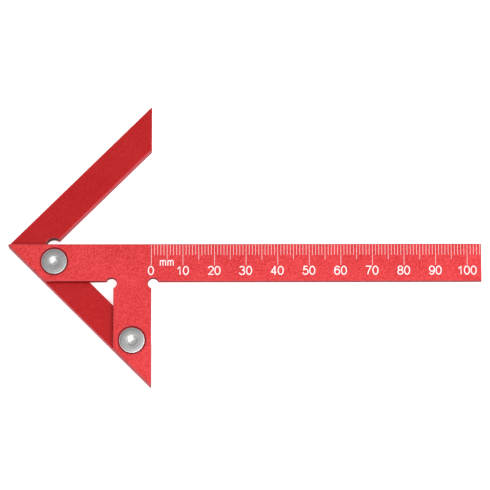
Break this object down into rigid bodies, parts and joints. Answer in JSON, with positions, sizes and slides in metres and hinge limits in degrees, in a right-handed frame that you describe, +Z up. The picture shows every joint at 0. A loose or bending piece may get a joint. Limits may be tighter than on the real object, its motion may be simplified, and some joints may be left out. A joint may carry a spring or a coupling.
{
  "type": "centre finder",
  "caption": "Anodised aluminium centre finder: a ruled blade with a square leg, screwed onto a right-angle vee that seats round stock.",
  "frame": {"origin": "centre of the bounding box's footprint, on the underside of the vee", "axes": "+X along the blade from the vee's tip to the square end, with the scribing edge on the X axis; +Y away from the leg; +Z up through the plate's engraved face"},
  "size_m": [0.15, 0.091, 0.007],
  "materials": {
    "blade_anodising": "bead-blasted and anodised red, with white engraved scale",
    "vee_anodising": "fine satin, anodised darker red",
    "screw_steel": "turned stainless steel"
  },
  "bodies": {
    "root": {"ruler_blade": "blade_anodising", "centring_vee": "vee_anodising", "tip_screw": "screw_steel", "leg_screw": "screw_steel"}
  },
  "joints": []
}
